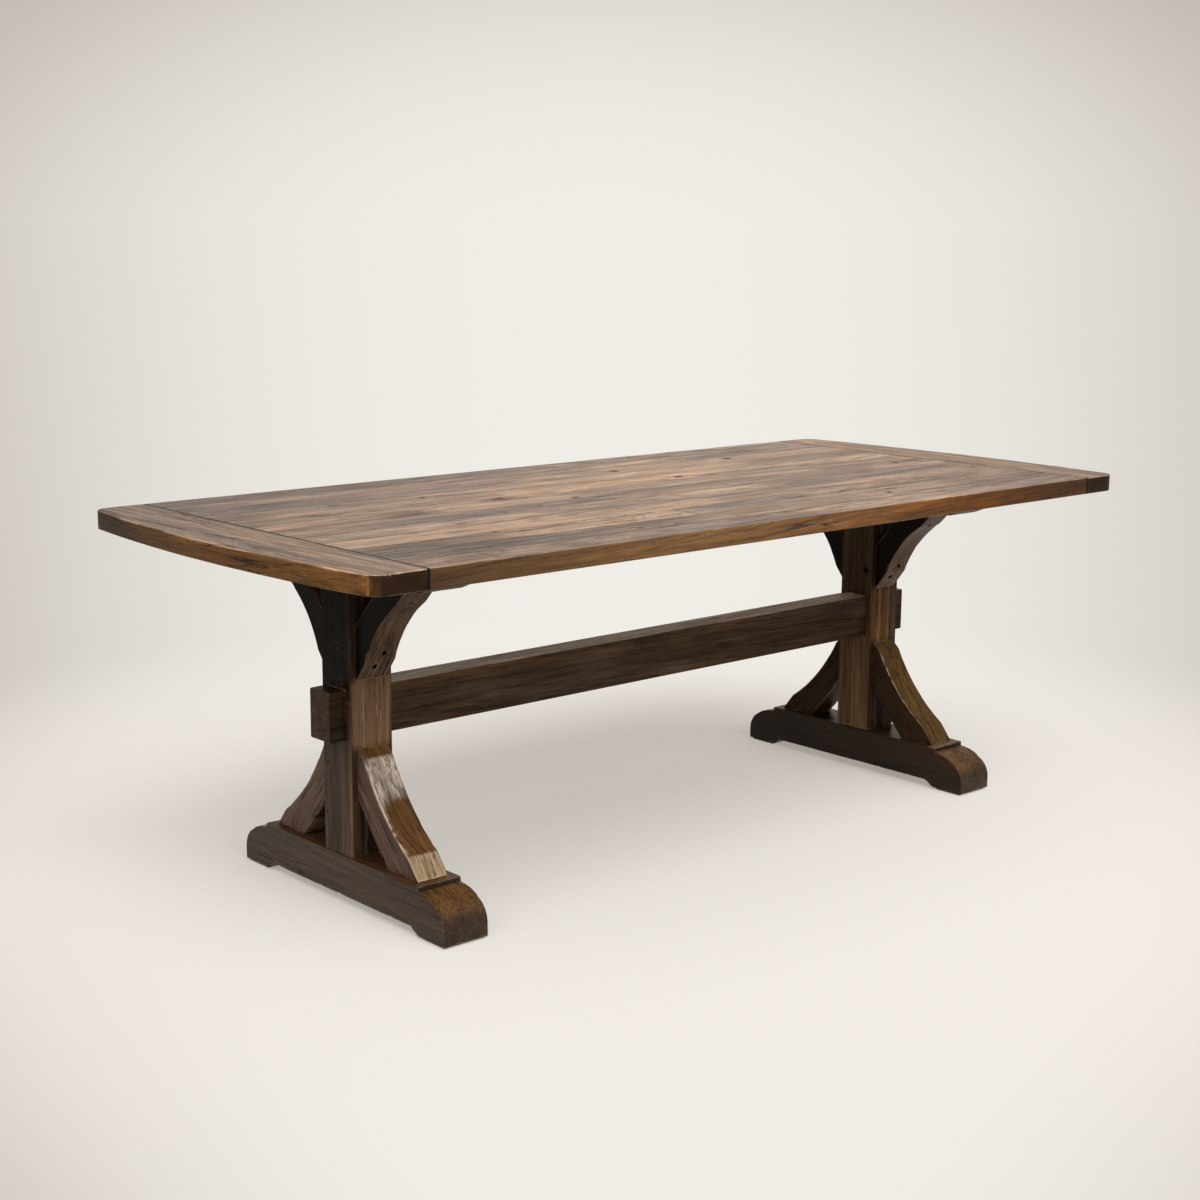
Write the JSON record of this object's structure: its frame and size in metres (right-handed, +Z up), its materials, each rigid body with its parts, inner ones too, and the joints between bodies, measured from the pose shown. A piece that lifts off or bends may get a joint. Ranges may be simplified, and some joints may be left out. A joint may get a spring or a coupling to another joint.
{
  "type": "trestle dining table",
  "caption": "Trestle dining table with a plank top, bowed breadboard ends, laminated posts, curved braces and a through stretcher.",
  "frame": {"origin": "on the floor, under the centre of the top", "axes": "+X along the table to its right end, +Y across it to its back edge, +Z up"},
  "size_m": [2.21, 0.988, 0.762],
  "materials": {
    "stave_wood": "grey-brown stained, satin, open grain",
    "end_board_wood": "grey-brown stained, satin, open grain",
    "post_wood": "dark brown stained, satin",
    "foot_wood": "very dark brown stained, satin, worn nose",
    "brace_wood": "brown stained, satin, worn arrises",
    "bearer_wood": "very dark brown stained",
    "stretcher_wood": "very dark brown stained, satin",
    "dowel_wood": "bare hardwood",
    "glide_plastic": "black",
    "fastener_steel": "dark, oiled"
  },
  "bodies": {
    "root": {"bearer_left": "bearer_wood", "bearer_right": "bearer_wood", "brace_dowels": "dowel_wood", "brace_screws": "fastener_steel", "breadboard_end_left": "end_board_wood", "breadboard_end_right": "end_board_wood", "breadboard_pegs": "dowel_wood", "foot_left": "foot_wood", "foot_right": "foot_wood", "glide_left_back": "glide_plastic", "glide_left_front": "glide_plastic", "glide_nails": "fastener_steel", "glide_right_back": "glide_plastic", "glide_right_front": "glide_plastic", "lower_brace_left_back": "brace_wood", "lower_brace_left_front": "brace_wood", "lower_brace_right_back": "brace_wood", "lower_brace_right_front": "brace_wood", "post_left_core": "post_wood", "post_left_inner": "post_wood", "post_left_outer": "post_wood", "post_right_core": "post_wood", "post_right_inner": "post_wood", "post_right_outer": "post_wood", "stretcher": "stretcher_wood", "stretcher_lock_screws": "fastener_steel", "top_screws": "fastener_steel", "top_stave_01_left": "stave_wood", "top_stave_01_right": "stave_wood", "top_stave_02_left": "stave_wood", "top_stave_02_right": "stave_wood", "top_stave_03_left": "stave_wood", "top_stave_03_right": "stave_wood", "top_stave_04_left": "stave_wood", "top_stave_04_right": "stave_wood", "top_stave_05_left": "stave_wood", "top_stave_05_right": "stave_wood", "top_stave_06_left": "stave_wood", "top_stave_06_right": "stave_wood", "top_stave_07_left": "stave_wood", "top_stave_07_right": "stave_wood", "top_stave_08_left": "stave_wood", "top_stave_08_right": "stave_wood", "top_stave_09_left": "stave_wood", "top_stave_09_right": "stave_wood", "top_stave_10_left": "stave_wood", "top_stave_10_right": "stave_wood", "top_stave_11_left": "stave_wood", "top_stave_11_right": "stave_wood", "top_stave_12_left": "stave_wood", "top_stave_12_right": "stave_wood", "upper_brace_left_back": "brace_wood", "upper_brace_left_front": "brace_wood", "upper_brace_right_back": "brace_wood", "upper_brace_right_front": "brace_wood"}
  },
  "joints": []
}
